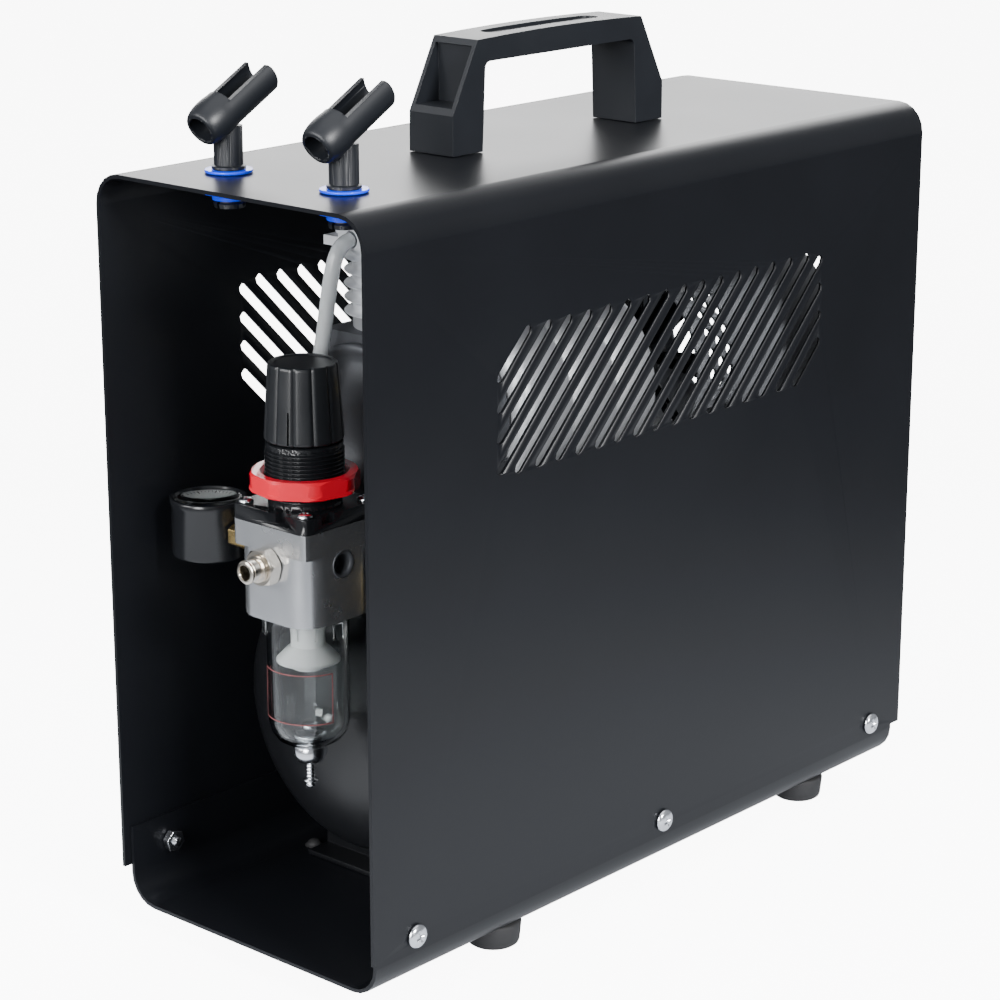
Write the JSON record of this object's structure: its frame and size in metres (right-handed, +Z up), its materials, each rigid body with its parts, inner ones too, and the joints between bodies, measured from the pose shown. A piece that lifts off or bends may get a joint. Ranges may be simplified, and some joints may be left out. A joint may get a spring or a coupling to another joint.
{
  "type": "airbrush compressor",
  "caption": "Airbrush compressor in an open-ended sheet-metal case with a carry handle, airbrush holders, a pressure regulator with gauge and water trap, a piston pump and an air tank.",
  "frame": {"origin": "the middle of the whole object's box, on the plane that the rubber feet stand on", "axes": "+Z up; the open front with the regulator and the airbrush holders faces -Y; +X is towards the side away from the gauge"},
  "size_m": [0.1402, 0.33, 0.3389],
  "materials": {
    "black_plastic": "semi-gloss moulded",
    "black_powder_coat": "satin powder coat, fine texture",
    "black_rubber": "matt",
    "blue_bush": "glossy bright blue",
    "brass": "turned",
    "bright_zinc": "bright zinc plated",
    "clear_plastic": "clear polycarbonate",
    "handle_plastic": "moulded, slate grey, finely textured",
    "motor_aluminium": "bright, drawn and turned",
    "nickel": "bright, slightly warm nickel plate",
    "pump_cast": "dark grey cast metal",
    "red_plastic": "glossy red",
    "satin_cast": "satin die cast",
    "spring_steel": "drawn steel wire and ground shaft",
    "tank_paint": "satin black paint",
    "white_plastic": "matt white"
  },
  "bodies": {
    "case": {"adjusting_spring": "spring_steel", "air_hose": "clear_plastic", "air_tank": "tank_paint", "base_tray": "black_powder_coat", "bush_nut_left": "blue_bush", "bush_nut_right": "blue_bush", "carry_handle": "handle_plastic", "check_valve": "brass", "cover_screw_left_front": "bright_zinc", "cover_screw_left_middle": "bright_zinc", "cover_screw_left_rear": "bright_zinc", "cover_screw_right_front": "bright_zinc", "cover_screw_right_middle": "bright_zinc", "cover_screw_right_rear": "bright_zinc", "crankcase": "pump_cast", "crankcase_cover": "pump_cast", "cylinder": "motor_aluminium", "cylinder_head": "motor_aluminium", "diaphragm": "black_rubber", "drain_cock": "brass", "drain_collar": "bright_zinc", "fan_cowl": "pump_cast", "feed_elbow": "brass", "filter_baffle": "white_plastic", "filter_bowl": "clear_plastic", "foot_front_left": "black_rubber", "foot_front_right": "black_rubber", "foot_rear_left": "black_rubber", "foot_rear_right": "black_rubber", "gauge_case": "black_plastic", "gauge_dial": "white_plastic", "gauge_lens": "clear_plastic", "gauge_link": "brass", "holder_bush_left": "blue_bush", "holder_bush_right": "blue_bush", "motor_can": "motor_aluminium", "motor_cradle": "pump_cast", "outlet_nipple": "nickel", "pressure_switch": "black_plastic", "pump_mount": "tank_paint", "regulator_body": "satin_cast", "regulator_bonnet": "black_plastic", "regulator_ring": "red_plastic", "rubber_pad": "black_rubber", "safety_valve": "brass", "tank_bracket_front": "tank_paint", "tank_bracket_rear": "tank_paint", "top_cover": "black_powder_coat"},
    "holder_left": {"holder_left": "handle_plastic"},
    "holder_right": {"holder_right": "handle_plastic"},
    "regulator_spindle": {"adjusting_spindle": "nickel"},
    "regulator_knob": {"pressure_knob": "black_plastic"},
    "drain_valve": {"drain_pin": "bright_zinc"},
    "gauge_needle": {"gauge_pointer": "red_plastic"},
    "motor_rotor": {"crankshaft": "spring_steel", "cooling_fan": "black_plastic"},
    "piston": {"piston_rod": "motor_aluminium"},
    "switch_rocker": {"power_rocker": "red_plastic"},
    "tank_drain_lever": {"drain_lever": "bright_zinc"},
    "safety_pull": {"safety_ring": "bright_zinc"}
  },
  "joints": [
    {"name": "holder_left_swivel", "type": "hinge", "parent": "case", "child": "holder_left", "pos_m": [-0.029, -0.1352, 0.296], "axis": [0, 0, 1], "continuous": true},
    {"name": "holder_right_swivel", "type": "hinge", "parent": "case", "child": "holder_right", "pos_m": [0.029, -0.1352, 0.296], "axis": [0, 0, 1], "continuous": true},
    {"name": "pressure_set", "type": "hinge", "parent": "case", "child": "regulator_spindle", "pos_m": [0.004, -0.1325, 0.211], "axis": [0, 0, 1], "continuous": true},
    {"name": "knob_lift", "type": "slide", "parent": "regulator_spindle", "child": "regulator_knob", "axis": [0, 0, 1], "range_m": [0, 0.003]},
    {"name": "bowl_drain", "type": "slide", "parent": "case", "child": "drain_valve", "axis": [0, 0, 1], "range_m": [0, 0.002], "stiffness_N_per_m": 500, "springref_m": -0.002},
    {"name": "gauge_sweep", "type": "hinge", "parent": "case", "child": "gauge_needle", "pos_m": [-0.0478, -0.1325, 0.1677], "axis": [0, 0, 1], "range_deg": [-270, 0], "stiffness_Nm_per_rad": 0.000002},
    {"name": "motor_turn", "type": "hinge", "parent": "case", "child": "motor_rotor", "pos_m": [0, 0, 0.197], "axis": [0, 1, 0], "continuous": true},
    {"name": "piston_stroke", "type": "slide", "parent": "case", "child": "piston", "axis": [0, 0, 1], "range_m": [-0.008, 0]},
    {"name": "power_switch", "type": "hinge", "parent": "case", "child": "switch_rocker", "pos_m": [-0.008, 0.153, 0.096], "axis": [1, 0, 0], "range_deg": [0, 18]},
    {"name": "tank_drain", "type": "hinge", "parent": "case", "child": "tank_drain_lever", "pos_m": [0, -0.052, 0.0233], "axis": [0, 1, 0], "range_deg": [0, 90]},
    {"name": "safety_lift", "type": "slide", "parent": "case", "child": "safety_pull", "axis": [0, 0, 1], "range_m": [0, 0.002], "stiffness_N_per_m": 500, "springref_m": -0.002}
  ]
}
